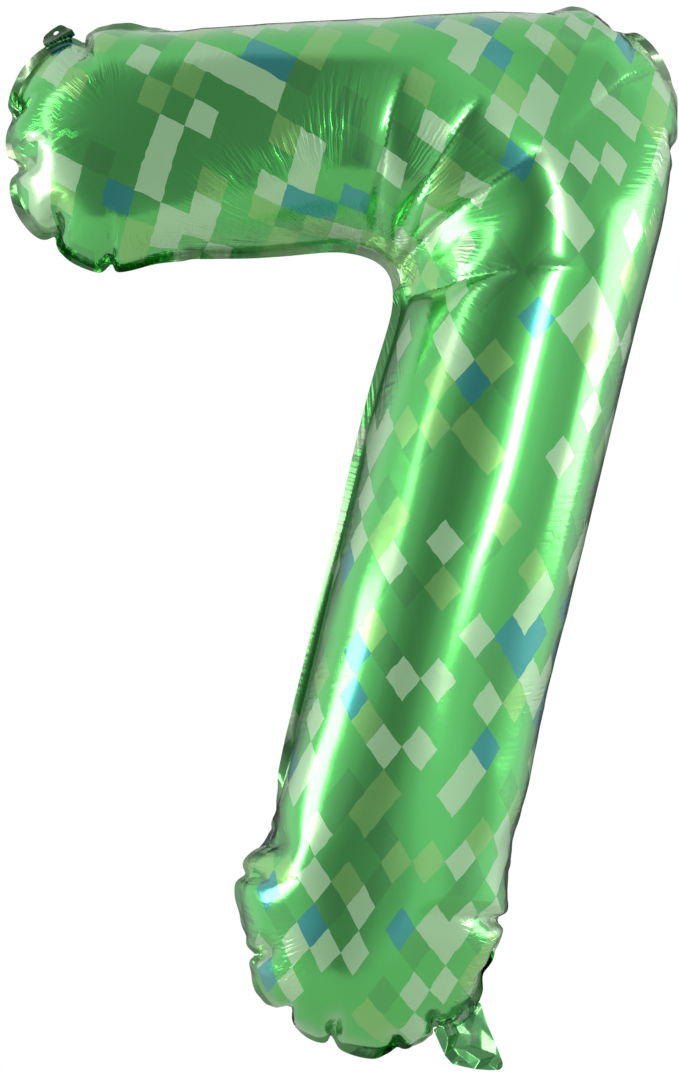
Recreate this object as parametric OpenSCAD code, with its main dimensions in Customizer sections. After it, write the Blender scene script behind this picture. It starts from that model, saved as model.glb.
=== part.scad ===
// Inflated foil number balloon, the figure 7, hung by a punched tab, with a fill tail.
//
// Two sheets of metallised film are welded along one outline. Gas turns each leg of the
// figure into a round tube. A tab and a tail are cut in one with the sheets and fold along
// the edge of the weld, and a flat two-ply valve runs from the tail into the balloon.
//
// The figure is drawn in its own plane: x to the right, y up, front towards -z of that plane.
// All outlines are worked out about the centre of the crook between the bar and the stem,
// and "stand" turns the plane upright with the hang hole's centre at the origin.

/* [Figure] */
// Width of the inflated bar, from weld to weld
bar_w = 186; // [150:1:220]
// Width of the inflated stem, from weld to weld
stem_w = 196; // [150:1:220]
// Length of the bar, from the crook's centre to its left end
bar_len = 270; // [200:1:400]
// Length of the stem, from the crook's centre to its bottom end
stem_len = 602; // [400:1:800]
// Slope of the bar, rising to the right, in degrees
bar_rise = 3; // [0:0.5:10]
// Lean of the stem, its foot to the left, in degrees
stem_lean = 13.5; // [0:0.5:20]
// Radius of the weld in the crook
crook_r = 43; // [25:1:60]
// Radius of the outer corner
corner_r = 107; // [60:1:120]
// Straight part of the bar's left end, between its rounded corners
bar_end_flat = 32; // [10:1:80]
// Straight part of the stem's bottom end, between its rounded corners
stem_end_flat = 26; // [10:1:80]
// Depth of the inflated outer corner, front to back
corner_depth = 206; // [160:1:240]
// Length over which each end swells to the full depth of the tube
end_swell = 270; // [180:1:270]
// Bluntness of that swelling: the power of the distance from the end
end_power = 0.4; // [0.3:0.05:0.6]
// How much flatter the film rises from the crook than on a round tube
crook_power = 1.5; // [1:0.05:2]
// Length along each leg over which that flatness fades out
crook_fade = 110; // [60:1:160]
// How much flatter the film falls to the outer corner than on a round tube
corner_power = 2; // [1:0.05:2.5]
// Share of the film's height that a pleat at the crook folds in
pleat_cut = 0.5; // [0:0.05:0.6]
// Half of a pleat's width, in degrees about the crook's centre
pleat_half = 4.5; // [3:0.5:8]

/* [Film] */
// Thickness of one sheet of film
film_t = 0.1; // [0.1:0.05:0.3]
// Width of the flat welded margin around the figure
seam_w = 8; // [5:0.5:14]
// Gap left at each fold line, where the film bends
fold_gap = 0.4; // [0.3:0.1:0.9]

/* [Hang tab] */
// Width of the tab at its fold
tab_w = 27; // [20:1:40]
// Width of the tab's outer end
tab_end_w = 19; // [14:1:20]
// Length of the tab, past its fold
tab_len = 21; // [16:1:30]
// Direction of the tab, in degrees from the figure's x axis
tab_angle = 118; // [100:1:160]
// Bend of the tab to the back, in degrees
tab_bend = 75; // [0:1:85]
// Radius of the hang hole
hang_hole_r = 2.4; // [1.5:0.1:4]
// Distance from the tab's outer end to the hang hole's centre
hang_hole_inset = 7; // [6:0.5:8]
// Radius of the tab's corners
tab_corner_r = 4; // [2:0.5:6]

/* [Fill tail] */
// Width of the tail
tail_w = 44; // [38:1:60]
// Length of the tail along its middle, past its fold
tail_len = 42; // [40:1:70]
// Direction square to the tail's fold, in degrees from the figure's x axis
tail_angle = -42; // [-80:1:-30]
// Slant of the tail away from that direction, towards straight down, in degrees
tail_slant = 26; // [0:1:30]
// Radius of the fill port
fill_port_r = 6.5; // [4:0.5:7]
// Distance from the tail's fold to the fill port's centre, along the tail
fill_port_reach = 12; // [10:1:16]
// Radius of the tail's corners
tail_corner_r = 5; // [2:0.5:8]

/* [Valve] */
// Thickness of one ply of the valve
valve_t = 0.05; // [0.03:0.01:0.05]
// Width of the valve
valve_w = 30; // [20:1:34]
// Length of the valve inside the balloon, from the weld
valve_inner_len = 70; // [40:1:90]
// Length of the valve's mouth in the tail, past the fold
valve_mouth_len = 34; // [30:1:38]
// Gap between the two plies at the valve's mouth
mouth_gap = 0.24; // [0.23:0.01:0.3]

/* [Hidden] */

foil_green = [0.20, 0.58, 0.25];
foil_mint = [0.58, 0.78, 0.57];
valve_milk = [0.88, 0.92, 0.89];

// Directions of the pleats from the crook's centre, in degrees from the figure's x axis
pleats = [78, 56, 37, 6, -7];
// Steps of the film's grid: along each leg and the corner, and across the tube
bar_steps = 16;
stem_steps = 23;
corner_steps = 36;
across_steps = 14;
// Crowding of a leg's steps towards its end: the power of a step's number
step_power = 1.8;
// Steps around a rounded corner of the tab and the tail
plate_corner_steps = 6;
hole_facets = 48;
// Length by which a cut runs past a face
cut_past = 1;
// Share of the seam's width by which a tab's or tail's land reaches into the seam
land_share = 0.6;

// Directions of the bar and the stem, and the side of each on which the crook lies
bar_along = [-cos(bar_rise), -sin(bar_rise)];
bar_out = [-sin(bar_rise), cos(bar_rise)];
stem_along = [-sin(stem_lean), -cos(stem_lean)];
stem_out = [cos(stem_lean), -sin(stem_lean)];
bar_out_angle = 90 + bar_rise;
stem_out_angle = -stem_lean;
// Each leg is [its direction, its outer side, its length, its width, the flat of its end]
bar_leg = [bar_along, bar_out, bar_len, bar_w, bar_end_flat];
stem_leg = [stem_along, stem_out, stem_len, stem_w, stem_end_flat];

function ray(angle) = [cos(angle), sin(angle)];

// Half the width of a leg at a distance from its end, whose corners are rounded
function half_width(from_end, full_w, end_flat, inset) =
    let (half = full_w / 2 - inset, flat = end_flat / 2, r = half - flat,
         into = max(0, r - from_end))
    flat + sqrt(r * r - into * into);

// Half the depth of a leg at a distance from its end
function half_depth(from_end, full) = full * pow(min(1, from_end / end_swell), end_power);

// How flatly the film of a leg rises on the crook's side, at a distance from the crook
function leg_power(from_crook) = 1 + (crook_power - 1) * max(0, 1 - from_crook / crook_fade);

// One station is [inner weld point, outer weld point, half depth, power of the rise on the
// inner side, power on the outer side, share that a pleat folds in].
// "inset" moves the whole outline inwards, and a negative one moves it outwards.
function leg_station(leg, from_end, inset) =
    let (along = leg[0], out = leg[1], full_w = leg[3], from_crook = leg[2] - inset - from_end,
         mid = along * from_crook + out * (crook_r + full_w / 2),
         half = half_width(from_end, full_w, leg[4], inset))
    [mid - out * half, mid + out * half, half_depth(from_end, full_w / 2 - inset),
     leg_power(from_crook), 1, 0];

// Distance from the crook's centre to each leg's outer weld
function bar_side(inset) = crook_r + bar_w - inset;
function stem_side(inset) = crook_r + stem_w - inset;

// The centre of the outer corner's circle, which touches both legs' outer welds
function corner_centre(inset) =
    let (r = corner_r - inset, bar = bar_side(inset) - r, stem = stem_side(inset) - r,
         turn = bar_out_angle - stem_out_angle)
    bar_out * (bar - stem * cos(turn)) / pow(sin(turn), 2)
    + stem_out * (stem - bar * cos(turn)) / pow(sin(turn), 2);

// Distance from the crook's centre to the outer weld along a ray: a straight leg, or the
// outer corner's circle between the points where it touches the legs
function outer_reach(angle, inset) =
    let (r = corner_r - inset, c = corner_centre(inset),
         on_bar = c + bar_out * r, on_stem = c + stem_out * r,
         along = c * ray(angle))
    angle > atan2(on_bar[1], on_bar[0]) ? bar_side(inset) / cos(bar_out_angle - angle)
    : angle < atan2(on_stem[1], on_stem[0]) ? stem_side(inset) / cos(angle - stem_out_angle)
    : along + sqrt(r * r - c * c + along * along);

// Half depth through the corner: each leg's own at that leg, and the corner's in the middle
function corner_half_depth(share) =
    let (legs = bar_w + (stem_w - bar_w) * share)
    (legs + (corner_depth - legs) * pow(sin(180 * share), 2)) / 2;

// Share of the film's height that the nearest pleat folds in at an angle
function pleated(angle) =
    pleat_cut * max([for (p = pleats) exp(-pow((angle - p) / pleat_half, 2))]);

function corner_station(share, inset) =
    let (angle = bar_out_angle + (stem_out_angle - bar_out_angle) * share)
    [ray(angle) * (crook_r + inset), ray(angle) * outer_reach(angle, inset),
     corner_half_depth(share) - inset, crook_power,
     1 + (corner_power - 1) * pow(sin(180 * share), 4), pleated(angle)];

// Distances from a leg's end up to the step before the crook
function leg_distances(leg, steps, inset) =
    [for (i = [0:steps - 1]) (leg[2] - inset) * pow(i / steps, step_power)];

// The stations of the whole figure, from the bar's left end, round the crook, to the foot
function stations(inset) =
    let (bar = leg_distances(bar_leg, bar_steps, inset),
         stem = leg_distances(stem_leg, stem_steps, inset))
    concat(
        [for (d = bar) leg_station(bar_leg, d, inset)],
        [for (i = [0:corner_steps]) corner_station(i / corner_steps, inset)],
        [for (i = [len(stem) - 1:-1:0]) leg_station(stem_leg, stem[i], inset)]);

// The weld's outline, moved inwards by inset
function outline(inset) =
    let (s = stations(inset), n = len(s))
    concat([for (i = [0:n - 1]) s[i][0]], [for (i = [n - 1:-1:0]) s[i][1]]);

// Share of a station's depth that the film reaches at an angle around the tube, from 0 at the
// inner weld to 180 at the outer one: half an ellipse where both powers are 1
function rise(s, a) = a < 90
    ? pow(sin(a), s[3]) * (1 - s[5] * pow(cos(a), 2))
    : pow(sin(a), s[4]);

// The points of one film's surface
function film_points(inset) = [
    for (s = stations(inset), j = [0:across_steps])
        let (a = 180 * j / across_steps, p = s[0] + (s[1] - s[0]) * (1 - cos(a)) / 2)
        [p[0], p[1], -film_t - s[2] * rise(s, a)]];

// The two triangles of a square of four point numbers, which both surfaces cut the same way
function two_triangles(q, flip) = flip
    ? [[q[2], q[1], q[0]], [q[3], q[2], q[0]]]
    : [[q[0], q[1], q[2]], [q[0], q[2], q[3]]];

// The triangles of one surface's grid, whose points start at number "first"
function grid_faces(rows, first, flip) = [
    for (i = [0:rows - 2], j = [0:across_steps - 1])
        let (row = across_steps + 1, a = first + i * row + j, b = a + row)
        each two_triangles([a, a + 1, b + 1, b], flip)];

// The point numbers around the edge of a surface
function edge_loop(rows) =
    let (row = across_steps + 1)
    concat([for (i = [0:rows - 1]) i * row],
           [for (j = [1:across_steps]) (rows - 1) * row + j],
           [for (i = [rows - 2:-1:0]) i * row + across_steps],
           [for (j = [across_steps - 1:-1:1]) j]);

// A domed sheet of film over the whole figure, its rim resting on the welded margin. The rim's
// faces come first, because the STEP file turns out inside out when they come last.
module domed_film() {
    outer = film_points(0);
    inner = film_points(film_t);
    rows = len(outer) / (across_steps + 1);
    edge = edge_loop(rows);
    n = len(edge);
    polyhedron(
        concat(outer, inner),
        concat(
            [for (k = [0:n - 1])
                let (here = edge[k], next = edge[(k + 1) % n])
                each two_triangles([here, next, next + len(outer), here + len(outer)], false)],
            grid_faces(rows, 0, false),
            grid_faces(rows, len(outer), true)),
        convexity = 8);
}

// Where the tab and the tail fold: the outer edge of the seam, on an end's rounded corner
function fold_place(leg, angle) =
    let (r = (leg[3] - leg[4]) / 2)
    leg[0] * (leg[2] - r) + leg[1] * (crook_r + leg[3] - r) + ray(angle) * (r + seam_w);
tab_fold = fold_place(bar_leg, tab_angle);
tail_fold = fold_place(stem_leg, tail_angle);

// The hang hole's centre, in the figure's plane and behind it
hang_reach = fold_gap / 2 + tab_len - hang_hole_inset;
hang_in_plane = tab_fold + ray(tab_angle) * (fold_gap / 2 + hang_reach * cos(tab_bend));
hang_behind = hang_reach * sin(tab_bend);

// Turns the figure's plane upright, with the hang hole's centre at the origin
module stand() {
    translate([-hang_in_plane[0], -hang_behind, -hang_in_plane[1]])
        rotate([90, 0, 0])
            mirror([0, 0, 1])
                children();
}

// Places what is drawn along +x from a fold line, bent to the back about the fold
module at_fold(fold, angle, bend) {
    translate([fold[0], fold[1], 0])
        rotate([0, 0, angle])
            translate([fold_gap / 2, 0, 0])
                rotate([0, -bend, 0])
                    translate([fold_gap / 2, 0, 0])
                        children();
}

// One rounded corner of a plate, about its own centre, through a quarter turn from an angle
function plate_corner(x, y, r, from) = [
    for (i = [0:plate_corner_steps])
        let (a = from + 90 * i / plate_corner_steps)
        [x + r * cos(a), y + r * sin(a)]];

// A point of a plate's root, which is cut along a fold that slants across the plate
function on_slanted_fold(y, slant) = [-y * tan(slant), y];

// The outline of a flat plate along +x, from its root to the two rounded corners of its end
function plate_outline(root_w, end_w, length, r, slant) = concat(
    [on_slanted_fold(-root_w / 2, slant)],
    plate_corner(length - r, -end_w / 2 + r, r, -90),
    plate_corner(length - r, end_w / 2 - r, r, 0),
    [on_slanted_fold(root_w / 2, slant)]);

// One ply between two heights over the figure's plane, which is z = 0; the front is -z
module ply(low, high) {
    translate([0, 0, low])
        linear_extrude(high - low)
            children();
}

// The land on the seam from which a tab or tail folds
module land(fold, angle, width) {
    translate(fold)
        rotate(angle)
            translate([-seam_w * land_share, -width / 2])
                square([seam_w * land_share, width]);
}

// Places what is drawn along the tail's line, in the figure's plane, with x = 0 at its land
module at_tail_land() {
    translate(tail_fold)
        rotate(tail_angle - tail_slant)
            children();
}

// The channel that the weld leaves open for the valve, which runs out past the land
module valve_channel() {
    inner_end = seam_w + valve_inner_len;
    translate([-inner_end, -valve_w / 2])
        square([inner_end + valve_w, valve_w]);
}

module front_film() {
    color(foil_green) stand() domed_film();
}

module back_film() {
    color(foil_green) stand() mirror([0, 0, 1]) domed_film();
}

module weld_seam() {
    color(foil_mint) stand()
        difference() {
            ply(-film_t, film_t)
                difference() {
                    union() {
                        polygon(outline(-seam_w));
                        land(tab_fold, tab_angle, tab_w);
                        land(tail_fold, tail_angle, tail_w / cos(tail_slant));
                    }
                    polygon(outline(film_t));
                }
            ply(-valve_t, valve_t)
                at_tail_land() valve_channel();
        }
}

module hang_tab_ply(low, high) {
    stand() at_fold(tab_fold, tab_angle, tab_bend)
        difference() {
            ply(low, high)
                polygon(plate_outline(tab_w, tab_end_w, tab_len, tab_corner_r, 0));
            translate([tab_len - hang_hole_inset, 0, low - cut_past])
                cylinder(h = high - low + cut_past * 2, r = hang_hole_r, $fn = hole_facets);
        }
}

module hang_tab_front_ply() {
    color(foil_green) hang_tab_ply(-film_t, 0);
}

module hang_tab_back_ply() {
    color(foil_green) hang_tab_ply(0, film_t);
}

// The fill port, cut through the front ply of the tail and of the valve's mouth
module fill_port_cut() {
    translate([fill_port_reach, 0, -cut_past])
        cylinder(h = cut_past * 2, r = fill_port_r, $fn = hole_facets);
}

// Distance from the tail's middle to the inner face of each of its sheets
tail_inside = mouth_gap / 2 + valve_t;

module tail_sheet() {
    polygon(plate_outline(tail_w, tail_w, tail_len, tail_corner_r, tail_slant));
}

// Places what is drawn along the tail from its fold, past the gap of the fold
module on_tail() {
    stand() at_fold(tail_fold, tail_angle, 0)
        rotate([0, 0, -tail_slant])
            children();
}

module tail_front_ply() {
    color(foil_green) on_tail()
        difference() {
            ply(-tail_inside - film_t, -tail_inside) tail_sheet();
            fill_port_cut();
        }
}

module tail_back_ply() {
    color(foil_green) on_tail()
        ply(tail_inside, tail_inside + film_t) tail_sheet();
}

// The valve's outline, from the tail's fold to a square end along the tail (or, with a
// negative length, back into the balloon)
module valve_sheet(length) {
    polygon([
        on_slanted_fold(-valve_w / 2, tail_slant), [length, -valve_w / 2],
        [length, valve_w / 2], on_slanted_fold(valve_w / 2, tail_slant)]);
}

module valve_mouth_front_ply() {
    color(valve_milk) on_tail()
        difference() {
            ply(-tail_inside, -mouth_gap / 2) valve_sheet(valve_mouth_len);
            fill_port_cut();
        }
}

module valve_mouth_back_ply() {
    color(valve_milk) on_tail()
        ply(mouth_gap / 2, tail_inside) valve_sheet(valve_mouth_len);
}

// One ply of the valve's sleeve, from the fold through the seam into the balloon
module valve_inner_ply(low, high) {
    color(valve_milk) stand()
        ply(low, high)
            at_tail_land() valve_sheet(-seam_w - valve_inner_len);
}

module valve_inner_front_ply() {
    valve_inner_ply(-valve_t, 0);
}

module valve_inner_back_ply() {
    valve_inner_ply(0, valve_t);
}

front_film();
back_film();
weld_seam();
hang_tab_front_ply();
hang_tab_back_ply();
tail_front_ply();
tail_back_ply();
valve_mouth_front_ply();
valve_mouth_back_ply();
valve_inner_front_ply();
valve_inner_back_ply();
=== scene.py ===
"""Looks of an inflated foil number balloon, the figure 7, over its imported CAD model.

The two films are cut flat, welded along one outline and blown up here by a cloth simulation, as
the real balloon is. Stage one finds the round tubes on a coarse mesh, and stage two lets the film
buckle along its weld on a fine one. Everything is in metres, in the CAD model's frame.
"""

import math

import bpy
import numpy as np
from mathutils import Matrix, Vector
from mathutils.bvhtree import BVHTree
from mathutils.geometry import delaunay_2d_cdt


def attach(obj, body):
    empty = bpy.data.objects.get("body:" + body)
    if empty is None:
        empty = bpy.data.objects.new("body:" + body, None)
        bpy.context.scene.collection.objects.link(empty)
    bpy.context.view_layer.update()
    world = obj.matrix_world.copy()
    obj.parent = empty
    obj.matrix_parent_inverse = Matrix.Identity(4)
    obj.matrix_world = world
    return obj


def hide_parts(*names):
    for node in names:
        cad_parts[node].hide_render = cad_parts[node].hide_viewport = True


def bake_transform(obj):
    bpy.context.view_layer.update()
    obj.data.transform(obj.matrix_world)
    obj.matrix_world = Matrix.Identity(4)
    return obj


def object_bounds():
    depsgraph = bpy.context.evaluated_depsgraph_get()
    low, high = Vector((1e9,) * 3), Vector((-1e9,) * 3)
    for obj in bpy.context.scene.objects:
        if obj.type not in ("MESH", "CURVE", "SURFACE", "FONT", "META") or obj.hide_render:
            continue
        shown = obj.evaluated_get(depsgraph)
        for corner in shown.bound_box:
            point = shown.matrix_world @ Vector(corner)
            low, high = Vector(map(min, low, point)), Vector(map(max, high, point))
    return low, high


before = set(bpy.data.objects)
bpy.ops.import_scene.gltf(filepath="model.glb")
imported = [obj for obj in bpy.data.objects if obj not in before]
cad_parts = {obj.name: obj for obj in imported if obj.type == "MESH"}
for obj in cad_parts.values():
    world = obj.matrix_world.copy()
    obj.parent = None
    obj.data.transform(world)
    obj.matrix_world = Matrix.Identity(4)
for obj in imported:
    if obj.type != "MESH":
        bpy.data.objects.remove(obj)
cad_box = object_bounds()

MM = 0.001
W, H = 679, 1073

# ---------------------------------------------------------------- image points
# Edges of the object, then features, in the photograph's frame
EDGES = {"left_x": 2, "right_x": 675, "top_y": 4, "bottom_y": 1069}
POINTS = {
    "hang_hole": (52, 34),
    "tab_outer_corner": (61, 26),
    "crook_weld": (392, 262),
    "tail_end": (478, 1068),
    "tail_outer_corner": (503, 1061),
    "tail_root": (480, 1003),
    "bar_end_pinch": (113, 262),
    "foot_left_pinch": (247, 874),
    "foot_right_pinch": (497, 916),
    "steep_crease_end": (401, 82),
    "upper_crease_end": (479, 101),
    "middle_crease_end": (540, 152),
    "level_crease_end": (578, 269),
}
# These lie on the balloon's outline
OUTLINE_POINTS = ("crook_weld", "bar_end_pinch", "foot_left_pinch", "foot_right_pinch")

# ---------------------------------------------------------------- camera
# Straight on to the front from 3.5 m, so that the weld's plane shows at 0.83 mm a pixel
PIXEL = 0.83 * MM
ORIGIN_AT = (55.2, 31.5)
WELD_Y = -13.716 * MM
CAMERA_FAR = 3.5
camera = bpy.data.objects.new("camera", bpy.data.cameras.new("camera"))
bpy.context.scene.collection.objects.link(camera)
bpy.context.scene.camera = camera
camera.data.sensor_fit = "AUTO"
camera.data.sensor_width = 36
camera.data.lens = 36 * CAMERA_FAR / (H * PIXEL)
camera.data.clip_end = 100
camera.location = (
    (W / 2 - ORIGIN_AT[0]) * PIXEL, WELD_Y - CAMERA_FAR, (ORIGIN_AT[1] - H / 2) * PIXEL)
camera.rotation_euler = (math.radians(90), 0, 0)
bpy.context.view_layer.update()


# ---------------------------------------------------------------- lines of sight
def seen_at(points):
    """Where points in space show in the photograph's frame."""
    view = np.array(camera.matrix_world.inverted())
    at = points @ view[:3, :3].T + view[:3, 3]
    scale = max(W, H) * camera.data.lens / camera.data.sensor_width
    return np.c_[W / 2 + scale * at[:, 0] / -at[:, 2] - camera.data.shift_x * max(W, H),
                 H / 2 - scale * at[:, 1] / -at[:, 2] + camera.data.shift_y * max(W, H)]


def under(x, y, pieces):
    """The place on some pieces that a point of the photograph's frame shows, or the nearest
    place to its line of sight where it misses them."""
    far = max(W, H)
    ray = Vector((x - W / 2 + camera.data.shift_x * far, H / 2 - y + camera.data.shift_y * far,
                  -far * camera.data.lens / camera.data.sensor_width))
    start = camera.matrix_world.translation
    ray = (camera.matrix_world.to_3x3() @ ray).normalized()
    points = np.vstack([positions(p.data) for p in pieces])
    first, faces = 0, []
    for p in pieces:
        faces += [[first + v for v in f.vertices] for f in p.data.polygons]
        first += len(p.data.vertices)
    hit = BVHTree.FromPolygons([Vector(p) for p in points], faces).ray_cast(start, ray)[0]
    if hit is not None:
        return np.array(hit)
    along = (points - np.array(start)) @ np.array(ray)
    miss = np.linalg.norm(points - np.array(start) - along[:, None] * np.array(ray), axis=1)
    return points[np.argmin(miss)]


# ---------------------------------------------------------------- nodes and colours
def colour(code, alpha=1.0):
    """An sRGB hex value as a linear colour."""
    parts = [int(code[i:i + 2], 16) / 255 for i in (1, 3, 5)]
    return tuple(
        p / 12.92 if p <= 0.04045 else ((p + 0.055) / 1.055) ** 2.4 for p in parts) + (alpha,)


def add(tree, kind, settings=(), **inputs):
    """Adds a node. An input is a value, or a (node, output name) pair that is linked to it."""
    node = tree.nodes.new(kind)
    for name, value in dict(settings).items():
        setattr(node, name, value)
    for name, value in inputs.items():
        key = int(name[1:]) if name[0] == "i" and name[1:].isdigit() else name.replace("_", " ")
        if isinstance(value, tuple) and len(value) == 2 and hasattr(value[0], "outputs"):
            tree.links.new(value[0].outputs[value[1]], node.inputs[key])
        else:
            node.inputs[key].default_value = value
    return node


def maths(tree, operation, *values):
    return add(tree, "ShaderNodeMath", {"operation": operation},
               **{f"i{k}": value for k, value in enumerate(values)})


def new_material(name):
    made = bpy.data.materials.new(name)
    made.use_nodes = True
    made.node_tree.nodes.clear()
    return made, made.node_tree


# ---------------------------------------------------------------- foil
# The film is 12 micron metallised nylon on polyethylene that welds. It is mirror bright, with
# transparent green ink over the metal: reflections take the ink's colour, and the clear outer
# face adds white ones. The print is a lattice of lozenges; its more opaque inks hide more metal.
INKS = [
    # share of the lozenges, colour, metallic, roughness
    (0.54, "#4acb5b", 1.0, 0.19),
    (0.21, "#9fd3a0", 0.55, 0.28),
    (0.09, "#7acb68", 0.85, 0.24),
    (0.11, "#44b855", 1.0, 0.20),
    (0.05, "#08a09a", 0.85, 0.20),
]
LOZENGE_W = 29 * MM
LOZENGE_H = 37 * MM


def ramp(tree, value, stops, interpolation):
    """A colour ramp over (position, colour) stops."""
    node = add(tree, "ShaderNodeValToRGB", Fac=value)
    node.color_ramp.interpolation = interpolation
    made = node.color_ramp.elements
    made.remove(made[1])
    made[0].position, made[0].color = stops[0]
    for position, shade in stops[1:]:
        made.new(position).color = shade
    return node


def grey(value):
    return (value, value, value, 1)


def foil(name, cell_shift, darker=0.0, inks=INKS, wrinkled=1.0, coat=1.0):
    """Printed metallised film. The UV map "flat" holds each point's place on the film before it
    was blown up, so that the lozenges stretch and bend with the film. "weld" holds its distance
    along the weld and away from it, and "fan" its angle around the crook and distance from it.
    A film may be drawn darker (on the tab and tail this is painted shade), be less wrinkled along
    its weld, or have a weaker gloss coat."""
    made, tree = new_material(name)
    place = add(tree, "ShaderNodeUVMap", {"uv_map": "flat"})
    apart = add(tree, "ShaderNodeSeparateXYZ", Vector=(place, "UV"))
    across = maths(tree, "DIVIDE", (apart, "X"), LOZENGE_W)
    up = maths(tree, "DIVIDE", (apart, "Y"), LOZENGE_H)
    rising_cell = maths(tree, "FLOOR", (maths(tree, "ADD", (across, 0), (up, 0)), 0))
    falling_cell = maths(tree, "FLOOR", (maths(tree, "SUBTRACT", (across, 0), (up, 0)), 0))
    cell = add(tree, "ShaderNodeCombineXYZ", X=(rising_cell, 0), Y=(falling_cell, 0), Z=cell_shift)
    pick = add(tree, "ShaderNodeTexWhiteNoise", {"noise_dimensions": "3D"}, Vector=(cell, 0))
    starts = [sum(ink[0] for ink in inks[:i]) for i in range(len(inks))]
    ink_colour, ink_metal, ink_rough = [
        ramp(tree, (pick, "Value"), [(at, of(ink)) for at, ink in zip(starts, inks)], "CONSTANT")
        for of in (lambda ink: colour(ink[1]), lambda ink: grey(ink[2]), lambda ink: grey(ink[3]))]
    # The film's colour is multiplied down by how much darker it is drawn; on the tab and tail this
    # is painted shade
    shaded = add(tree, "ShaderNodeMix", {"data_type": "RGBA", "blend_type": "MULTIPLY"},
                 i0=1.0, i6=(ink_colour, "Color"), i7=grey(1 - darker))
    # Fine wrinkles come in patches
    patches = add(tree, "ShaderNodeTexNoise", Vector=(place, "UV"), Scale=14.0, Detail=0.0)
    grouped = add(tree, "ShaderNodeMapRange", {"interpolation_type": "SMOOTHSTEP"}, Value=(
        patches, "Fac"), From_Min=0.44, From_Max=0.62, To_Min=0.12, To_Max=0.9)

    def wrinkles(uv_map, stretch, scale, near, far, height, under_them=()):
        """Wrinkles along one of the UV maps: its first part counts them, its second is the
        distance over which they fade out."""
        uv = add(tree, "ShaderNodeUVMap", {"uv_map": uv_map})
        pair = add(tree, "ShaderNodeSeparateXYZ", Vector=(uv, "UV"))
        along = maths(tree, "MULTIPLY", (pair, "Y"), stretch)
        lines = add(tree, "ShaderNodeTexNoise", Vector=(add(
            tree, "ShaderNodeCombineXYZ", X=(pair, "X"), Y=(along, 0)), 0),
            Scale=scale, Detail=1.5)
        fade = add(tree, "ShaderNodeMapRange", {"interpolation_type": "SMOOTHSTEP"},
                   Value=(pair, "Y"), From_Min=near, From_Max=far, To_Min=1.0, To_Max=0.0)
        share = maths(tree, "MULTIPLY", (fade, 0), (grouped, 0))
        links = {"Normal": under_them} if under_them else {}
        return add(tree, "ShaderNodeBump", Height=(lines, "Fac"), Strength=(share, 0),
                   Distance=height, **links)

    # Square to the weld and about 5 mm apart, out to 100 mm from it; and fans that point away
    # from the crook, between its creases
    folded = wrinkles("weld", 0.10, 200.0, 0.012, 0.10, 0.0022 * wrinkled)
    fans = wrinkles("fan", 0.35, 42.0, 0.10, 0.20, 0.0018, (folded, "Normal"))
    crinkle = add(tree, "ShaderNodeTexNoise", Vector=(place, "UV"), Scale=60.0, Detail=3.0)
    crinkled = add(tree, "ShaderNodeBump", Height=(crinkle, "Fac"), Strength=0.10,
                   Distance=0.0012, Normal=(fans, "Normal"))
    shader = add(
        tree, "ShaderNodeBsdfPrincipled",
        Base_Color=(shaded, 2), Metallic=(ink_metal, "Color"),
        Roughness=(ink_rough, "Color"), Normal=(crinkled, "Normal"),
        # Clear film has an index of about 1.5; 1.8 was picked to keep the highlights pale
        Coat_Weight=coat, Coat_Roughness=0.15, Coat_IOR=1.8)
    add(tree, "ShaderNodeOutputMaterial", Surface=(shader, "BSDF"))
    return made


front_foil = foil("printed_metallised_film_front", 3.0)
back_foil = foil("printed_metallised_film_back", 8.0)
# The weld presses the two films flat, and its film is drawn darker than the rest
weld_foil = foil("heat_welded_metallised_film", 3.0, darker=0.6, wrinkled=0.4)
# Tab and tail are two loose films on each other, crumpled, and the print leaves them plain. The
# tail's film is drawn darker: painted shade among its crumples.
loose_foil = foil("crumpled_metallised_film_painted_shade", 3.0, darker=0.35, inks=[
    (1.0, "#46b95c", 0.95, 0.30)])
# The tab's film is drawn much darker and with a weak coat: painted shade that stands in for the
# dark reflection the tab shows
tab_foil = foil("creased_metallised_film_painted_dark", 3.0, darker=0.8, coat=0.25, inks=[
    (1.0, "#46b95c", 1.0, 0.25)])

# The valve is clear polyethylene film, slightly milky: mostly see-through, with a soft gloss
valve_film, tree = new_material("milky_polyethylene_film")
clear = add(tree, "ShaderNodeBsdfTransparent", Color=colour("#eef4ef"))
milky = add(tree, "ShaderNodeBsdfPrincipled", Base_Color=colour("#dfeee4"), Roughness=0.25,
            IOR=1.5)
add(tree, "ShaderNodeOutputMaterial", Surface=(add(
    tree, "ShaderNodeMixShader", i0=0.15, i1=(clear, 0), i2=(milky, 0)), 0))

# ---------------------------------------------------------------- the flat film
# The weld's outline on the flat film: corners (x, z) and the radius that rounds each
FLAT_CORNERS = [
    (50.7, 80.5, 113), (629, -46.5, 110), (458, -961, 134), (162, -914, 141),
    (287, -255, 71), (-18, -154, 116),
]
FLANGE_W = 7.5 * MM
COARSE = 12 * MM
FINE = 6 * MM


def evenly(path, step):
    """A closed path as points an even step apart."""
    path = np.vstack([path, path[:1]])
    run = np.r_[0, np.cumsum(np.linalg.norm(np.diff(path, axis=0), axis=1))]
    at = np.linspace(0, run[-1], int(round(run[-1] / step)), endpoint=False)
    return np.c_[np.interp(at, run, path[:, 0]), np.interp(at, run, path[:, 1])]


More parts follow.
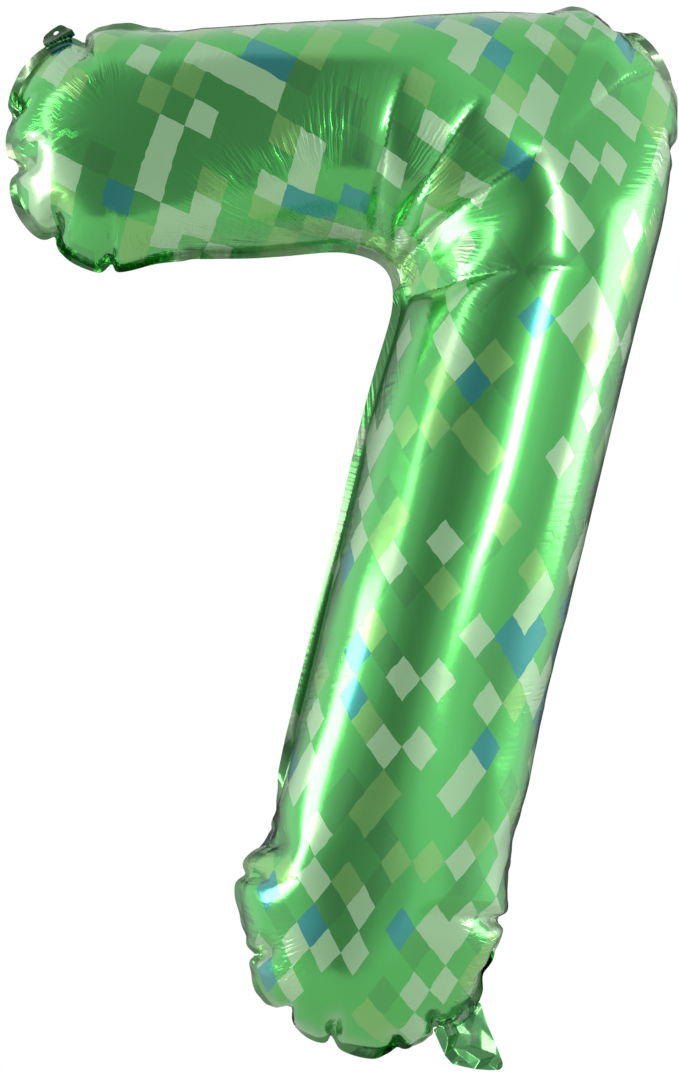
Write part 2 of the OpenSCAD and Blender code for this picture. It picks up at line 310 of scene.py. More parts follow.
def rounded_outline(corners, step):
    """The outline with its corners rounded, as points an even step apart."""
    path = []
    pts = [np.array(c[:2]) * MM for c in corners]
    for i, corner in enumerate(pts):
        radius = corners[i][2] * MM
        back = pts[i - 1] - corner
        on = pts[(i + 1) % len(pts)] - corner
        back, on = back / np.linalg.norm(back), on / np.linalg.norm(on)
        half = math.acos(back @ on) / 2
        middle = (back + on) / np.linalg.norm(back + on)
        centre = corner + middle * radius / math.sin(half)
        first = corner + back * radius / math.tan(half) - centre
        last = corner + on * radius / math.tan(half) - centre
        start, end = math.atan2(first[1], first[0]), math.atan2(last[1], last[0])
        turn = (end - start + math.pi) % (2 * math.pi) - math.pi
        steps = max(2, int(abs(turn) * radius / step) + 1)
        for k in range(steps + 1):
            a = start + turn * k / steps
            path.append(centre + radius * np.array([math.cos(a), math.sin(a)]))
    return evenly(path, step)


def segment_distance(points, loop):
    """Distance from each point to a closed loop."""
    best = np.full(len(points), 1e9)
    for a, b in zip(loop, np.roll(loop, -1, 0)):
        ab = b - a
        t = np.clip((points - a) @ ab / (ab @ ab), 0, 1)
        best = np.minimum(best, np.linalg.norm(points - a - t[:, None] * ab, axis=1))
    return best


def inside(points, loop):
    """Which points a closed loop holds."""
    x, y = points.T
    odd = np.zeros(len(points), bool)
    for (x0, y0), (x1, y1) in zip(loop, np.roll(loop, -1, 0)):
        crosses = (y0 > y) != (y1 > y)
        if crosses.any():
            odd ^= crosses & (x < (x1 - x0) * (y - y0) / (y1 - y0 + 1e-15) + x0)
    return odd


def cut_flat(loops, spacing, jitter=None):
    """Triangles over what the first loop holds and the others don't, with points an even
    spacing apart inside. Returns the points, the loops' own first, and the triangles."""
    outer = loops[0]
    low, high = outer.min(0), outer.max(0)
    rows = []
    for j, z in enumerate(np.arange(low[1], high[1], spacing * math.sqrt(3) / 2)):
        x = np.arange(low[0] + (spacing / 2 if j % 2 else 0), high[0], spacing)
        rows.append(np.c_[x, np.full(len(x), z)])
    inner = np.vstack(rows)
    if jitter is not None:
        inner = inner + np.random.default_rng(jitter).normal(0, 0.08 * spacing, inner.shape)
    for loop in loops:
        inner = inner[inside(inner, loop) == (loop is outer)]
        inner = inner[segment_distance(inner, loop) > 0.62 * spacing]
    points = np.vstack([*loops, inner])
    rims, first = [], 0
    for loop in loops:
        rims += [(first + i, first + (i + 1) % len(loop)) for i in range(len(loop))]
        first += len(loop)
    cut = delaunay_2d_cdt([Vector(p) for p in points], rims, [], 1, 1e-7)
    faces = np.array([list(f) for f in cut[2]])
    for loop in loops[1:]:
        faces = faces[~inside(points[faces].mean(1), loop)]
    at = points[faces]
    turned = np.cross(at[:, 1] - at[:, 0], at[:, 2] - at[:, 0]) < 0
    faces[turned] = faces[turned][:, ::-1]
    return points, faces


class Film:
    """Two films of one outline, welded at its edge, with a flat flange outside the weld.

    Points: the weld, the front film's inside, the back film's inside, the flange's edge.
    Faces: the front film's, the back film's, the flange's."""

    def __init__(self, spacing, seed):
        weld = rounded_outline(FLAT_CORNERS, spacing)
        tangent = np.roll(weld, -1, 0) - np.roll(weld, 1, 0)
        tangent /= np.linalg.norm(tangent, axis=1)[:, None]
        outward = np.c_[-tangent[:, 1], tangent[:, 0]]
        if inside((weld + outward * spacing / 9)[:1], weld)[0]:
            outward = -outward
        points, front = cut_flat([weld], spacing, seed)
        n = len(weld)
        inner = points[n:]
        m = len(inner)
        away = segment_distance(inner, weld)
        self.flat = np.vstack([weld, inner, inner, weld + outward * FLANGE_W])
        back = front[:, ::-1].copy()
        back[back >= n] += m
        edge = n + 2 * m
        flange = [q for i in range(n) for j in [(i + 1) % n]
                  for q in ((i, j, edge + j), (i, edge + j, edge + i))]
        self.n, self.m, self.spacing = n, m, spacing
        self.faces = [front, back, np.array(flange)]
        # How far each point starts off the flat, so that the pressure knows which way is out
        lift = 1.5 * MM * np.minimum(1, away / spacing / 2)
        self.lift = np.r_[np.zeros(n), -lift, lift, np.zeros(n)]

    def flat_in_space(self, lift=0.0):
        return np.c_[self.flat[:, 0], np.full(len(self.flat), WELD_Y) + self.lift * lift,
                     self.flat[:, 1]]

    def edge(self):
        return self.n + 2 * self.m


def mesh_object(name, points, faces):
    mesh = bpy.data.meshes.new(name)
    mesh.from_pydata([tuple(p) for p in points], [], [tuple(map(int, f)) for f in faces])
    mesh.update()
    made = bpy.data.objects.new(name, mesh)
    bpy.context.scene.collection.objects.link(made)
    return made


def positions(mesh):
    flat = np.empty(len(mesh.vertices) * 3)
    mesh.vertices.foreach_get("co", flat)
    return flat.reshape(-1, 3)


def normals(mesh):
    return np.array([v.normal for v in mesh.vertices])


def inflate(film, start, frames, vertex_mass, compression, bending):
    """Blows the film up from its starting shape, and returns where its points come to rest."""
    made = mesh_object("inflating", film.flat_in_space(), np.vstack(film.faces))
    made.shape_key_add(name="Basis")
    for key, shape in (("cut", film.flat_in_space()), ("start", start)):
        block = made.shape_key_add(name=key)
        block.data.foreach_set("co", shape.astype(np.float32).ravel())
    made.data.shape_keys.key_blocks["start"].value = 1.0
    made.vertex_groups.new(name="gas").add(list(range(film.edge())), 1.0, "REPLACE")
    cloth = made.modifiers.new("cloth", "CLOTH")
    cloth.collision_settings.use_collision = False
    s = cloth.settings
    s.rest_shape_key = made.data.shape_keys.key_blocks["cut"]
    s.quality = 8
    s.mass = vertex_mass
    s.tension_stiffness, s.tension_damping = 80, 5
    s.compression_stiffness, s.compression_damping = compression, 5
    s.shear_stiffness, s.shear_damping = 20, 5
    s.bending_stiffness, s.bending_damping = bending, 0.5
    s.use_pressure = True
    s.uniform_pressure_force = 100
    s.vertex_group_pressure = "gas"
    s.effector_weights.gravity = 0
    cloth.point_cache.frame_start, cloth.point_cache.frame_end = 1, frames + 1
    scene = bpy.context.scene
    scene.frame_start, scene.frame_end = 1, frames + 1
    for number in range(1, frames + 1):
        scene.frame_set(number)
    still = made.evaluated_get(bpy.context.evaluated_depsgraph_get())
    settled = positions(still.to_mesh())
    still.to_mesh_clear()
    bpy.data.objects.remove(made)
    scene.frame_set(1)
    return settled


def carried(points, flat, faces, values):
    """What the values of a flat triangle mesh's points come to at other flat points."""
    tree = BVHTree.FromPolygons(
        [Vector((*p, 0)) for p in flat], [tuple(map(int, f)) for f in faces])
    out = np.zeros((len(points), values.shape[1]))
    for i, p in enumerate(points):
        face = faces[tree.find_nearest(Vector((*p, 0)))[2]]
        corners = np.vstack([flat[face].T, np.ones(3)])
        out[i] = np.linalg.solve(corners, [*p, 1]) @ values[face]
    return out


def carry_over(coarse, shape, fine):
    """Places a fine film's points on a coarse film's shape."""
    def on_loop(points, first):
        a = coarse.flat[first:first + coarse.n]
        held = shape[first:first + coarse.n]
        ab = np.roll(a, -1, 0) - a
        placed = np.zeros((len(points), 3))
        for i, p in enumerate(points):
            t = np.clip(((p - a) * ab).sum(1) / (ab ** 2).sum(1), 0, 1)
            k = np.argmin(((a + ab * t[:, None] - p) ** 2).sum(1))
            placed[i] = held[k] * (1 - t[k]) + held[(k + 1) % coarse.n] * t[k]
        return placed

    n, m = fine.n, fine.m
    return np.vstack([
        on_loop(fine.flat[:n], 0),
        carried(fine.flat[n:n + m], coarse.flat, coarse.faces[0], shape),
        carried(fine.flat[n + m:n + 2 * m], coarse.flat, coarse.faces[1], shape),
        on_loop(fine.flat[fine.edge():], coarse.edge())])


# ---------------------------------------------------------------- fit to the CAD outline
rim_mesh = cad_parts["front_film"].data
rim_co = positions(rim_mesh)
on_rim = rim_co[:, 1] > rim_co[:, 1].max() - 0.2 * MM
rim_edges = np.array([
    e.vertices for e in rim_mesh.edges if on_rim[e.vertices[0]] and on_rim[e.vertices[1]]])
RIM_A, RIM_B = rim_co[rim_edges[:, 0]][:, [0, 2]], rim_co[rim_edges[:, 1]][:, [0, 2]]


def nearest_on_rim(points):
    """The nearest place to each point on the CAD model's weld, in the weld's plane."""
    ab = RIM_B - RIM_A
    length = np.maximum((ab ** 2).sum(1), 1e-12)
    placed = np.zeros_like(points)
    for i, p in enumerate(points):
        t = np.clip(((p - RIM_A) * ab).sum(1) / length, 0, 1)
        spots = RIM_A + ab * t[:, None]
        placed[i] = spots[np.argmin(((spots - p) ** 2).sum(1))]
    return placed


def turned_into_place(shape, n):
    """Turns and moves the balloon in the weld's plane, so that its weld lies on the CAD one."""
    shape = shape.copy()
    centre = (RIM_A.min(0) + RIM_A.max(0)) / 2
    plane = shape[:, [0, 2]]
    plane += centre - (plane[:n].min(0) + plane[:n].max(0)) / 2
    for _ in range(30):
        weld, goal = plane[:n], nearest_on_rim(plane[:n])
        mid, goal_mid = weld.mean(0), goal.mean(0)
        u, _, vt = np.linalg.svd((weld - mid).T @ (goal - goal_mid))
        plane = (plane - mid) @ (u @ vt) + goal_mid
    shape[:, [0, 2]] = plane
    return shape


def eased_onto_rim(shape, n, reach=55 * MM):
    """Moves the whole balloon smoothly, so that its weld follows the CAD outline, and keeps the
    scallops that are smaller than the reach."""
    shape = shape.copy()
    for _ in range(2):
        weld = shape[:n][:, [0, 2]]
        shift = nearest_on_rim(weld) - weld
        for part in np.array_split(np.arange(len(shape)), 40):
            gap = ((shape[part][:, None, [0, 2]] - weld[None]) ** 2).sum(2)
            share = np.exp(-(gap - gap.min(1)[:, None]) / (2 * reach ** 2))
            shape[np.ix_(part, [0, 2])] += share @ shift / share.sum(1)[:, None]
    return shape


# ---------------------------------------------------------------- creases
# Where the film folds in as it is blown up: a line (x, z) from the weld inwards, how deep the
# fold starts, and how wide it is, all in millimetres. These start the pleats of the two ends.
PLEATS = [
    # around the bar's end
    ([(-35, -104), (-4, -92)], 7, 6),
    ([(-26, -56), (-7, -50)], 4, 5),
    ([(-8, -172), (8, -136)], 9, 6),
    ([(47, -192), (49, -146)], 10, 6),
    ([(27, -3), (34, -36)], 7, 6),
    # around the foot
    ([(158, -700), (204, -700)], 9, 6),
    ([(156, -768), (194, -755)], 8, 6),
    ([(190, -822), (200, -796)], 6, 5),
    ([(232, -836), (237, -796)], 9, 6),
    ([(288, -842), (282, -824)], 6, 5),
    ([(322, -822), (306, -802)], 7, 6),
    ([(366, -780), (355, -776)], 5, 5),
    ([(370, -735), (300, -726)], 9, 6),
]
# The long sharp creases that fan out from the crook, pressed into the finished films: where each
# starts, the image point at its end, how far it bows to its left, how deep and how wide it is
CROOK_CREASES = [
    ((263, -187), "steep_crease_end", 5, 8, 9),
    ((276, -188), "upper_crease_end", 4, 10, 9),
    ((285, -194), "middle_crease_end", 3, 11, 10),
    ((286, -221), "level_crease_end", 8, 11, 10),
]


# A soft dent inside the outer corner
CORNER_DENT = ([(500, -28), (474, -42), (408, -103)], 7, 10)
# The power with which a sharp crease runs out towards its end
RUN_OUT = 0.7


def crease_line(start, end, bow):
    """A bowed line of five points between two places, in millimetres."""
    start, end = np.array(start), np.array(end)
    left = np.array((start[1] - end[1], end[0] - start[0])) / np.linalg.norm(end - start)
    return [start + (end - start) * t + left * bow * 4 * t * (1 - t)
            for t in np.linspace(0, 1, 5)]


def folded_in(points, normal, creases, sharp):
    """Presses creases into a surface along its normals: sharp ones as a V, others rounded."""
    plane = points[:, [0, 2]]
    push = np.zeros(len(points))
    for line, depth, width in creases:
        line = np.array(line) * MM
        lengths = np.linalg.norm(np.diff(line, axis=0), axis=1)
        run = np.r_[0, np.cumsum(lengths)]
        near = np.full(len(points), 1e9)
        along = np.zeros(len(points))
        for k, (a, b) in enumerate(zip(line, line[1:])):
            t = (plane - a) @ (b - a) / lengths[k] ** 2
            t = np.clip(t, 0 if k or sharp else -1, 1)
            gap = np.linalg.norm(plane - a - t[:, None] * (b - a), axis=1)
            here = gap < near
            near[here], along[here] = gap[here], (run[k] + t * lengths[k])[here]
        part = np.clip(along / run[-1], 0, 1)
        if sharp:
            fade = np.minimum(1, part / 0.2 + 0.15) * (1 - part) ** RUN_OUT
            across = 0.72 * np.exp(-near / (width * MM)) + 0.28 * np.exp(-near / (2.6 * MM))
        else:
            fade = (1 - part) ** 0.5
            across = np.exp(-(near / (width * MM)) ** 2)
        push = np.maximum(push, depth * MM * across * fade)
    return points - normal * push[:, None]


def pleated(shape, film):
    """Starts the pleats of the ends in both films."""
    made = mesh_object("pleating", shape, np.vstack(film.faces[:2]))
    normal = normals(made.data)
    bpy.data.objects.remove(made)
    normal[film.edge():] = normal[:film.n]
    return folded_in(shape, normal, PLEATS, False)


CROOK = np.array((242.4, -220.2)) * MM


def smoothed(shape, film, rounds):
    """Takes the mesh's own ripple out of the film and leaves the weld as it is: each point
    moves towards its neighbours' middle, then almost as far back. Around the crook it only
    moves towards the middle, because the creases there are pressed in afterwards."""
    edges = np.vstack([f[:, [i, (i + 1) % 3]] for f in film.faces[:2] for i in range(3)])
    count = np.bincount(edges.ravel(), minlength=len(shape))[:, None] + 1e-9

    def ramped(value, low, high):
        t = np.clip((value - low) / (high - low), 0, 1)
        return t * t * (3 - 2 * t)

    away = segment_distance(film.flat, film.flat[:film.n])
    from_crook = np.linalg.norm(shape[:, [0, 2]] - CROOK, axis=1)
    share = ramped(away, 10 * MM, 45 * MM)
    crook = ramped(away, 4 * MM, 26 * MM) * (1 - ramped(from_crook, 150 * MM, 240 * MM))
    crook[film.edge():] = 0  # the flange isn't part of these meshes
    shape = shape.copy()
    for turn in range(rounds):
        total = np.zeros_like(shape)
        np.add.at(total, edges[:, 0], shape[edges[:, 1]])
        np.add.at(total, edges[:, 1], shape[edges[:, 0]])
        step = 0.55 if turn % 2 == 0 else -0.555
        step = step * share * (1 - crook) + (0.5 * crook if turn < 50 else 0)
        shape += step[:, None] * (total / count - shape)
    return shape


CROOK_WINDOW, NOTCH_WINDOW = 60, 30  # pixels to each side of a point
INTO_BALLOON = (0.79, -0.61)  # from the crook, in pixels right and down


def outline_feature(name, shape, film):
    """Where the outline's own feature that a point names lies: its deepest notch around there,
    or for the crook the place of the weld that reaches furthest into the balloon. It is found
    by its form, never as the vertex nearest the point."""
    weld, rim = seen_at(shape[:film.n]), seen_at(shape[film.edge():])
    if name == "crook_weld":
        near = np.where(np.abs(weld - POINTS[name]).max(1) < CROOK_WINDOW)[0]
        return shape[near[np.argmax(weld[near] @ INTO_BALLOON)]]
    near = np.where(np.abs(rim - POINTS[name]).max(1) < NOTCH_WINDOW)[0]
    chord = rim[near[-1]] - rim[near[0]]

    def aside(points):
        return chord[0] * points[:, 1] - chord[1] * points[:, 0]

    inwards = np.sign(aside(weld[near] - rim[near]).mean())
    return shape[film.edge() + near[np.argmax(inwards * aside(rim[near] - rim[near[0]]))]]


# ---------------------------------------------------------------- inflation
film = Film(COARSE, 3)
shape = inflate(film, film.flat_in_space(lift=1.0), 24, 0.001, 20, 200)
shape = turned_into_place(shape, film.n)
shape = eased_onto_rim(shape, film.n)
fine = Film(FINE, 4)
shape = pleated(carry_over(film, shape, fine), fine)
film = fine
shape = inflate(film, shape, 20, 0.00025, 20, 0.5)
shape = turned_into_place(shape, film.n)
shape = smoothed(eased_onto_rim(shape, film.n), film, 80)
# The notches and the crook are moved onto their image points, and what is around them follows
PULL_REACH = 32 * MM
for name in OUTLINE_POINTS:
    place = outline_feature(name, shape, film)
    shift = (POINTS[name] - seen_at(place[None])[0]) * (PIXEL, -PIXEL)
    gap = np.linalg.norm(shape[:, [0, 2]] - place[[0, 2]], axis=1)
    shape[:, [0, 2]] += np.exp(-(gap / PULL_REACH) ** 2)[:, None] * shift
# The flange curls back where the corner would push it past the photograph's outline
FURTHEST_RIGHT = 517 * MM
over = np.maximum(0, shape[film.edge():, 0] - FURTHEST_RIGHT)
shape[film.edge():] += over[:, None] * (-1, 0.8, 0)

# ---------------------------------------------------------------- pieces
def along_weld(points, weld):
    """How far along the weld each flat point's nearest place lies, and how far away it is."""
    nearest = np.array([np.argmin(((weld - p) ** 2).sum(1)) for p in points])
    run = np.r_[0, np.cumsum(np.linalg.norm(np.diff(weld, axis=0), axis=1))]
    return np.c_[run[nearest], segment_distance(points, weld)]


def finished(made, maps, material, levels=1):
    """Gives a piece its UV maps, smooths it, and gives it its material."""
    mesh = made.data
    corners = np.empty(len(mesh.loops), int)
    mesh.loops.foreach_get("vertex_index", corners)
    for name, places in maps.items():
        layer = mesh.uv_layers.new(name=name)
        layer.data.foreach_set("uv", places[corners].astype(np.float32).ravel())
    mesh.polygons.foreach_set("use_smooth", [True] * len(mesh.polygons))
    smooth = made.modifiers.new("smooth", "SUBSURF")
    smooth.levels = smooth.render_levels = levels
    smooth.uv_smooth = "NONE"
    still = made.evaluated_get(bpy.context.evaluated_depsgraph_get())
    made.data = bpy.data.meshes.new_from_object(still)
    made.modifiers.clear()
    made.data.materials.clear()
    made.data.materials.append(material)
    return made


weld_place = along_weld(film.flat, film.flat[:film.n])
crook_at = film.flat[np.argmin(np.linalg.norm(shape[:film.n][:, [0, 2]] - CROOK, axis=1))]
# Angles around the crook are counted so that their jump lies outside the balloon
turn = math.radians(225)
off = (film.flat - crook_at) @ np.array(
    ((math.cos(turn), -math.sin(turn)), (math.sin(turn), math.cos(turn))))
fan_place = np.c_[np.arctan2(-off[:, 1], -off[:, 0]), np.linalg.norm(off, axis=1)]


def film_piece(name, faces, material):
    """One piece of the balloon, with its place on the flat film kept in its UV maps."""
    used = np.unique(faces)
    number = np.full(len(shape), -1)
    number[used] = np.arange(len(used))
    made = mesh_object(name, shape[used], number[faces])
    return finished(made, {"flat": film.flat[used], "weld": weld_place[used],
                           "fan": fan_place[used]}, material)


front = film_piece("front_film_blown", film.faces[0], front_foil)
back = film_piece("back_film_blown", film.faces[1], back_foil)
# The bottom of each pleat is pressed in a little more, 3 mm wide
lines = [(line, 0.35 * depth, 3) for line, depth, _ in PLEATS] + [CORNER_DENT]
for start, end, bow, depth, width in CROOK_CREASES:
    place = under(*POINTS[end], [front])[[0, 2]] / MM
    # It is still 1 mm deep at its point and runs out a little beyond it
    place = np.array(start) + (place - start) / (1 - depth ** (-1 / RUN_OUT))
    lines.append((crease_line(start, place, bow), depth, width))
for piece in (front, back):
    places = positions(piece.data)
    pressed = folded_in(places, normals(piece.data), lines, True)
    # The films stay joined to the flange: nothing moves at the weld itself
    from_weld = np.hstack([
        np.sqrt(((part[:, None] - shape[None, :film.n]) ** 2).sum(2).min(1))
        for part in np.array_split(places, 60)])
    pressed = places + (pressed - places) * np.clip(
        (from_weld - film.spacing / 2) / (10 * MM), 0, 1)[:, None]
    piece.data.vertices.foreach_set("co", pressed.astype(np.float32).ravel())
    piece.data.update()
flange = film_piece("welded_flange", film.faces[2], weld_foil)
for piece, node in ((front, "front_film"), (back, "back_film"), (flange, "weld_seam")):
    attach(piece, "balloon")
    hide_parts(node)

# ---------------------------------------------------------------- tab and tail
# Each is crumpled into facets: (u, v, height) in millimetres, u along it from its fold and v
# across it, and the facets run between these points
TAIL_FOLD = np.array((340.73, -13.716, -821.19)) * MM
TAIL_ALONG, TAIL_ACROSS = np.array((0.3746, 0, -0.9272)), np.array((0.9272, 0, 0.3746))
TAIL_EDGE = [
    (-3, -27.5), (9, -27.2), (20.7, -26.6), (28.1, -23.7), (34.5, -15), (39.8, -6.9), (44.5, 3),
    (47.4, 10.7), (45.8, 14.2), (42.5, 15.6), (26, 15.9), (9, 15.4), (-10.1, 16.9), (-9, 5),
    (-8, -6), (-6.5, -17)]
TAIL_FACETS = [
    (-12, -29, 0), (-14, -10, 0), (-14, 4, 0), (-14, 20, 0), (-4, -27, 0.4), (-4, -19, -2.4),
    (-2, -10, 1.8), (-4, 2, 0.6), (-2, 10, 1.8), (-6, 17, 0.2), (7, -28, 1.2), (7, -18.6, -3.6),
    (6, -9, 2.4), (4, 14, 0.8), (13, -21, -3), (16.6, -18, 1.8), (21, -28, 0), (12, 0, 1.1),
    (4.5, -3, 0.8), (4.5, 5, 1.2), (20, -5, 1.4), (19, 6, 1.5), (11, 10, 0.6), (29, -25, 0.5),
    (24, -16, 2.2), (22.5, -9, -0.6), (28.5, -18.4, -0.3), (27, 3, 2.3), (26, 17, 0.2),
    (35, -0.4, -1.6), (33, -11, 1.2), (40, -8, 0), (40, 4, 1.8), (44.4, 10, -1.4), (49, 10, 0.8),
    (43, 17, 0.2), (36, 13, 1.6)]
PORT, PORT_R = (12.15, 0.0), 6.5

TAB_FOLD = np.array((1.725, -13.716, -3.245)) * MM
TAB_UP, TAB_ACROSS = np.array((-0.4695, 0, 0.8829)), np.array((0.8829, 0, 0.4695))
TAB_EDGE = [
    (-6, -13.5), (3, -13.4), (11, -13), (17, -10.8), (20, -7.5), (21.2, -3), (21.4, 2),
    (21.6, 6.2), (18, 8.6), (11, 11.2), (3, 13), (-6, 13.5), (-6, 5), (-6, -5)]
TAB_FACETS = [
    (-8, -15, 0), (-8, 15, 0), (-2, -15, 0), (-2, 0, 0), (-2, 15, 0), (6, -15, 0.8), (5, -5, -0.6),
    (7, 4, 0.7), (5, 15, -0.3), (13, -8, 0.1), (14.2, 0, 0), (13, 8, -0.2), (17, -13, 0.8),
    (17.5, 9, 0.5), (23, -6, -0.4), (23, 2, 0.5), (23, 9, -0.3), (18.5, -2, 0.1)]
# The tab leaves the weld, bends back and passes through the hang hole's place: u, then how far
# up the weld's plane and how far behind it
TAB_BEND = [(-6, -7, 0), (-1, -2.2, 0.6), (2, -0.6, 3.1), (8, 1.2, 8.8), (14.2, 3.67, 13.72),
            (22, 9.3, 18.6)]
HOLE, HOLE_R = (14.2, 0.0), 2.4


def crumpled(places, facets):
    """Height of a faceted sheet at (u, v) places in metres."""
    points = np.array(facets) * MM
    cut = delaunay_2d_cdt([Vector(p[:2]) for p in points], [], [], 0, 1e-9)
    return carried(places, points[:, :2], np.array([list(f) for f in cut[2]]), points[:, 2:])[:, 0]


def circle(centre, radius, count):
    turn = np.linspace(0, 2 * math.pi, count, endpoint=False)
    return (np.array(centre) + radius * np.c_[np.cos(turn), np.sin(turn)]) * MM


def sheet(name, edge, holes, place, material, print_at):
    """A sheet of film cut to an edge, each of its points placed by a function."""
    flat, faces = cut_flat([evenly(np.array(edge) * MM, 1.3 * MM), *holes], 1.4 * MM)
    made = mesh_object(name, place(flat), faces)
    away = np.c_[flat[:, 1], np.full(len(flat), 0.2)]
    return finished(made, {"flat": flat[:, ::-1] * (1, -1) + print_at, "weld": away,
                           "fan": away + 1}, material)


# The front film and the flange, which tab and tail grow out of
skin = BVHTree.FromPolygons(
    [Vector(p) for p in shape], [tuple(map(int, f)) for f in np.vstack(film.faces[::2])])


def rooted(points, share, gap):
    """Draws points onto the balloon's front where share is 1, and leaves them where it is 0."""
    out = points.copy()
    for i in np.nonzero(share > 0)[0]:
        hit = skin.ray_cast(Vector(points[i]) - Vector((0, 0.2, 0)), Vector((0, 1, 0)))[0]
        if hit is not None and abs(hit.y - points[i][1]) < 12 * MM:
            out[i][1] += share[i] * (hit.y - gap - points[i][1])
    return out


def on_tail(lift, root_gap):
    def place(flat):
        height = crumpled(flat, TAIL_FACETS) + lift
        points = (TAIL_FOLD + flat[:, :1] * TAIL_ALONG + flat[:, 1:] * TAIL_ACROSS
                  - height[:, None] * np.array((0, 1, 0)))
        share = np.clip(1 - (flat[:, 0] + 6 * MM) / (8 * MM), 0, 1)
        return rooted(points, share * share * (3 - 2 * share), root_gap)
    return place


def on_tab(flat):
    path = np.array(TAB_BEND) * MM
    up = np.interp(flat[:, 0], path[:, 0], path[:, 1])
    behind = np.interp(flat[:, 0], path[:, 0], path[:, 2])
    height = crumpled(flat, TAB_FACETS)
    points = (TAB_FOLD + up[:, None] * TAB_UP + flat[:, 1:] * TAB_ACROSS
              + behind[:, None] * np.array((0, 1, 0)))
    points = points + height[:, None] * (0.8 * TAB_UP - 0.6 * np.array((0, 1, 0)))
    share = np.clip(1 - (flat[:, 0] + 5 * MM) / (5 * MM), 0, 1)
    return rooted(points, share, 0.3 * MM)


tab = sheet("crumpled_hang_tab", TAB_EDGE, [circle(HOLE, HOLE_R, 32)], on_tab, tab_foil,
            (0.041, 0.035))
tail_front = sheet("crumpled_tail_front", TAIL_EDGE, [circle(PORT, PORT_R, 48)],
                   on_tail(0.35 * MM, 0.35 * MM), loose_foil, (0.36, -0.87))
tail_back = sheet("crumpled_tail_back", [(u + 0.8 if u > 28 else u, v) for u, v in TAIL_EDGE], [],
                  on_tail(-0.35 * MM, 0.2 * MM), loose_foil, (0.36, -0.87))
mouth = sheet("valve_mouth", [(3, -15), (36, -14), (37.5, 14), (3, 14)], [],
              on_tail(0, 0.28 * MM), valve_film, (0.0, 0.0))
TAIL_FOLDS = np.array((0.7431, 0, -0.6691))
for piece, nodes, body, place, way, slot in (
        (tab, ("hang_tab_front_ply", "hang_tab_back_ply"), "hang_tab", TAB_FOLD, TAB_UP,
         "printed_foil"),
        (tail_front, ("tail_front_ply",), "fill_tail", TAIL_FOLD, TAIL_FOLDS, "printed_foil"),
        (tail_back, ("tail_back_ply",), "fill_tail", TAIL_FOLD, TAIL_FOLDS, "printed_foil"),
        (mouth, ("valve_mouth_front_ply", "valve_mouth_back_ply"), "fill_tail", TAIL_FOLD,
         TAIL_FOLDS, "valve_film")):
    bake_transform(piece)
    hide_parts(*nodes)

# ---------------------------------------------------------------- CAD nodes that stay
for name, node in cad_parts.items():
    node.data.materials.clear()
    node.data.materials.append(valve_film if name.startswith("valve") else front_foil)

# ---------------------------------------------------------------- studio
world = bpy.data.worlds.new("studio")
bpy.context.scene.world = world
world.use_nodes = True
tree = world.node_tree
tree.nodes.clear()
# A pale room, dark left of the camera and behind the balloon. Mirror-bright film shows it, so
# each part of the room is as bright as its reflection on the stem: azimuth is from the camera
# to the right, in degrees. High up and low down the room is evenly lit. Only reflections show
# the room: seen directly, the background is plain white.
ROOM = [
    (-180, 0.03), (-158, 0.06), (-140, 0.4), (-118, 0.9), (-94, 0.78), (-62, 0.72), (-50, 0.55),
    (-38, 0.33), (-26, 0.26), (-14, 0.30), (-4, 0.52), (8, 0.78), (34, 0.80), (50, 0.64),
    (64, 0.58), (80, 0.72), (98, 0.90), (118, 0.90), (138, 0.5), (158, 0.08), (180, 0.03)]
way = add(tree, "ShaderNodeTexCoord")
part = add(tree, "ShaderNodeSeparateXYZ", Vector=(way, "Generated"))
toward = maths(tree, "MULTIPLY", (part, "Y"), -1.0)
azimuth = maths(tree, "ARCTAN2", (part, "X"), (toward, 0))
turned = add(tree, "ShaderNodeMapRange", Value=(azimuth, 0), From_Min=-math.pi, From_Max=math.pi,
             To_Min=0.0, To_Max=1.0)
around = ramp(tree, (turned, 0), [((a + 180) / 360, grey(r)) for a, r in ROOM], "EASE")
height = maths(tree, "ABSOLUTE", (part, "Z"))
back_part = maths(tree, "MAXIMUM", (part, "Y"), 0.0)
raised = maths(tree, "MULTIPLY_ADD", (back_part, 0), 0.6, (height, 0))
overhead = add(tree, "ShaderNodeMapRange", {"interpolation_type": "SMOOTHSTEP"},
               Value=(raised, 0), From_Min=0.90, From_Max=0.995, To_Min=0.0, To_Max=1.0)
room = add(tree, "ShaderNodeMix", {"data_type": "RGBA"},
           i0=(overhead, 0), i6=(around, "Color"), i7=grey(0.70))
seen = add(tree, "ShaderNodeLightPath")
shown = add(tree, "ShaderNodeMix", {"data_type": "RGBA"},
            i0=(seen, "Is Camera Ray"), i6=(room, 2), i7=grey(1.0))
light = add(tree, "ShaderNodeBackground", Color=(shown, 2), Strength=1.0)
add(tree, "ShaderNodeOutputWorld", Surface=(light, "Background"))


def softbox(name, azimuth, height, distance, size, radiance):
    """A soft light, upright and turned to the balloon. Azimuth is from the camera's side,
    to the right, in degrees."""
    lamp = bpy.data.lights.new(name, "AREA")
    lamp.shape = "RECTANGLE"
    lamp.color = colour("#fffaea")[:3]
    lamp.size, lamp.size_y = size
    lamp.energy = radiance * math.pi * size[0] * size[1]
    made = bpy.data.objects.new(name, lamp)
    bpy.context.scene.collection.objects.link(made)
    a = math.radians(azimuth)
    target = Vector(((cad_box[0][0] + cad_box[1][0]) / 2, WELD_Y, -0.42))
    made.location = target + Vector((math.sin(a), -math.cos(a), 0)) * distance
    made.location.z = height
    flat_target = Vector((target.x, target.y, height))
    made.rotation_mode = "QUATERNION"
    made.rotation_quaternion = (flat_target - made.location).to_track_quat("-Z", "Y")
    made.visible_camera = False
    return made


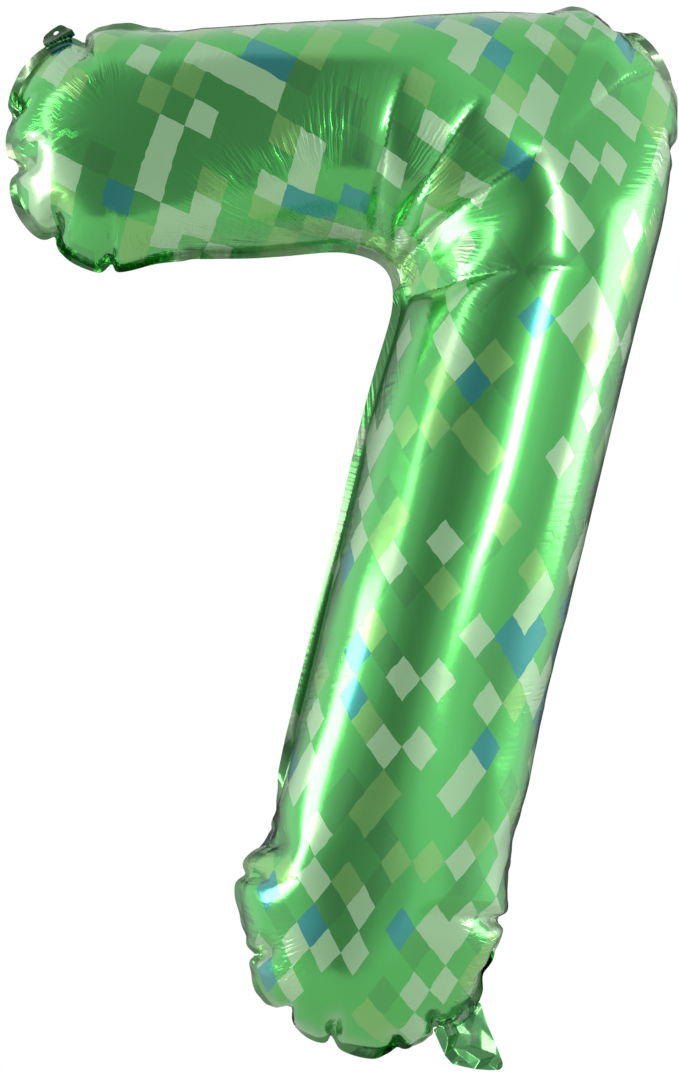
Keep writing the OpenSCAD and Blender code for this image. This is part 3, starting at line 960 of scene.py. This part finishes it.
# The strip that draws the white line down the stem, and the panels at the sides
softbox("strip_light", 17.5, -0.03, 2.4, (0.36, 1.45), 10.0)
softbox("left_panel", -66, 0.55, 2.0, (0.30, 1.1), 2.6)
softbox("low_left_panel", -82, -0.55, 2.0, (0.80, 1.1), 5.5)
softbox("right_panel", 92, -0.40, 2.0, (0.95, 1.0), 3.4)

# A pale floor half a metre under the hanging balloon
floor = mesh_object(
    "floor", [(-1.2, -0.8, 0), (1.2, -0.8, 0), (1.2, 1.6, 0), (-1.2, 1.6, 0)], [(0, 1, 2, 3)])
floor.location = (0.24, 0, -1.35)
paint, tree = new_material("matt_floor_paint")
shader = add(tree, "ShaderNodeBsdfPrincipled", Base_Color=colour("#d2d2ce"), Roughness=0.8)
add(tree, "ShaderNodeOutputMaterial", Surface=(shader, "BSDF"))
floor.data.materials.append(paint)

bpy.context.scene.view_settings.view_transform = "Standard"

# ---------------------------------------------------------------- where the points show
balloon = [front, back, flange]
everything = seen_at(np.vstack([positions(p.data) for p in balloon + [tab, tail_front, tail_back]]))
for name, value in EDGES.items():
    column = 0 if name.endswith("_x") else 1
    pick = np.min if name.startswith(("left", "top")) else np.max
    round(float(pick(everything[:, column]) - value), 1)
marks = {"hang_hole": on_tab(np.array([HOLE]) * MM)[0]}
for name, place, spot in (("tab_outer_corner", on_tab, TAB_EDGE[7]),
                          ("tail_end", on_tail(0, 0), TAIL_EDGE[5]),
                          ("tail_outer_corner", on_tail(0, 0), TAIL_EDGE[9]),
                          ("tail_root", on_tail(0, 0), TAIL_EDGE[12])):
    marks[name] = place(np.array([spot]) * MM)[0]
# A crease ends at its furthest vertex that is still pressed in
STILL_PRESSED = 0.8 * MM
places, normal = positions(front.data), normals(front.data)
for line, (start, end, *_) in zip(lines[-len(CROOK_CREASES):], CROOK_CREASES):
    depth = np.linalg.norm(folded_in(places, normal, [line], True) - places, axis=1)
    far = np.linalg.norm(places[:, [0, 2]] - np.array(start) * MM, axis=1)
    marks[end] = places[np.argmax(np.where(depth > STILL_PRESSED, far, 0))]
# The outline was moved onto these four, so their numbers only say that it is still there
for name in OUTLINE_POINTS:
    marks[name] = outline_feature(name, shape, film)
